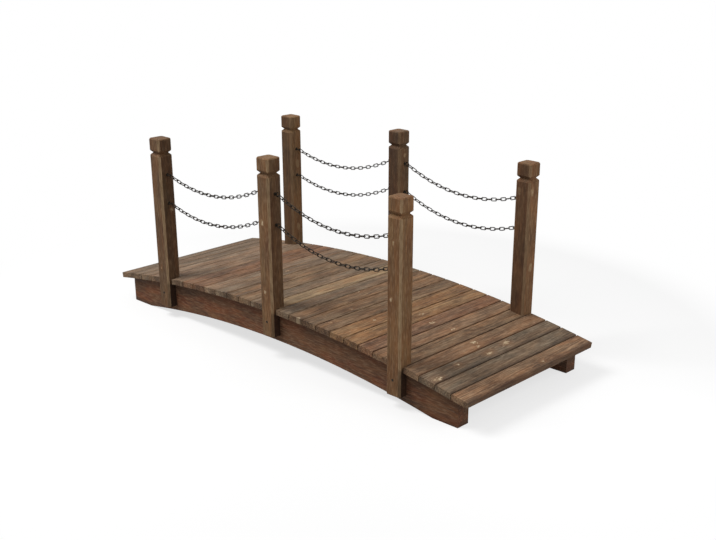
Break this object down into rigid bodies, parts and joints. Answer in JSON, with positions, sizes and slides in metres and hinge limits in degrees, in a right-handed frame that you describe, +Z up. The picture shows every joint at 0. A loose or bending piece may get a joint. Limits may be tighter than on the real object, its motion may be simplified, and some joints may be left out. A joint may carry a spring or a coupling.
{
  "type": "moon bridge",
  "caption": "Low arched garden footbridge of stained fir with posts at the sides and hanging chain rails.",
  "frame": {"origin": "on the ground at the middle of the span, midway between the side beams", "axes": "+X along the span, +Y across the deck, +Z up"},
  "size_m": [1.5796, 0.624, 0.632],
  "materials": {
    "deck_wood": "matte",
    "beam_wood": "matte",
    "post_wood": "matte",
    "black_metal": "satin"
  },
  "bodies": {
    "root": {"side_beam_near": "beam_wood", "side_beam_far": "beam_wood", "deck_plank_01": "deck_wood", "deck_plank_02": "deck_wood", "deck_plank_03": "deck_wood", "deck_plank_04": "deck_wood", "deck_plank_05": "deck_wood", "deck_plank_06": "deck_wood", "deck_plank_07": "deck_wood", "deck_plank_08": "deck_wood", "deck_plank_09": "deck_wood", "deck_plank_10": "deck_wood", "deck_plank_11": "deck_wood", "deck_plank_12": "deck_wood", "deck_plank_13": "deck_wood", "deck_plank_14": "deck_wood", "deck_plank_15": "deck_wood", "deck_plank_16": "deck_wood", "deck_plank_17": "deck_wood", "deck_plank_18": "deck_wood", "deck_plank_19": "deck_wood", "deck_plank_20": "deck_wood", "deck_plank_21": "deck_wood", "deck_plank_22": "deck_wood", "deck_plank_23": "deck_wood", "deck_plank_24": "deck_wood", "deck_plank_25": "deck_wood", "deck_plank_26": "deck_wood", "deck_plank_27": "deck_wood", "post_near_left": "post_wood", "post_near_middle": "post_wood", "post_near_right": "post_wood", "post_far_left": "post_wood", "post_far_middle": "post_wood", "post_far_right": "post_wood", "screw_eyes_near": "black_metal", "screw_eyes_far": "black_metal", "chain_near_left_upper": "black_metal", "chain_near_left_lower": "black_metal", "chain_near_right_upper": "black_metal", "chain_near_right_lower": "black_metal", "chain_far_left_upper": "black_metal", "chain_far_left_lower": "black_metal", "chain_far_right_upper": "black_metal", "chain_far_right_lower": "black_metal"}
  },
  "joints": []
}
